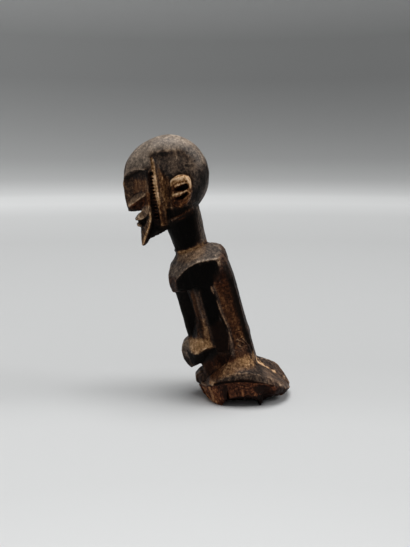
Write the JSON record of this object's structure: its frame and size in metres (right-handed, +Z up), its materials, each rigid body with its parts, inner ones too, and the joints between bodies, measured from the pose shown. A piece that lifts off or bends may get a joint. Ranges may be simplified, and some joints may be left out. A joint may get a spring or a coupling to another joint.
{
  "type": "wooden statuette",
  "caption": "Small carved wooden figure with a round bald head, pointed beard, square shoulders, hands on the belly and flared hips, broken off at the thighs.",
  "frame": {"origin": "on the ground, under the middle of the figure's bounding box", "axes": "+Z up; the figure faces -Y and its own left side is +X"},
  "size_m": [0.0432, 0.0746, 0.1163],
  "materials": {
    "dark_wood": "hand-carved hardwood with an old dark handling patina, worn paler on the crown, ridges and hip tops, raw where it is broken"
  },
  "bodies": {
    "root": {"carved_figure": "dark_wood"}
  },
  "joints": []
}
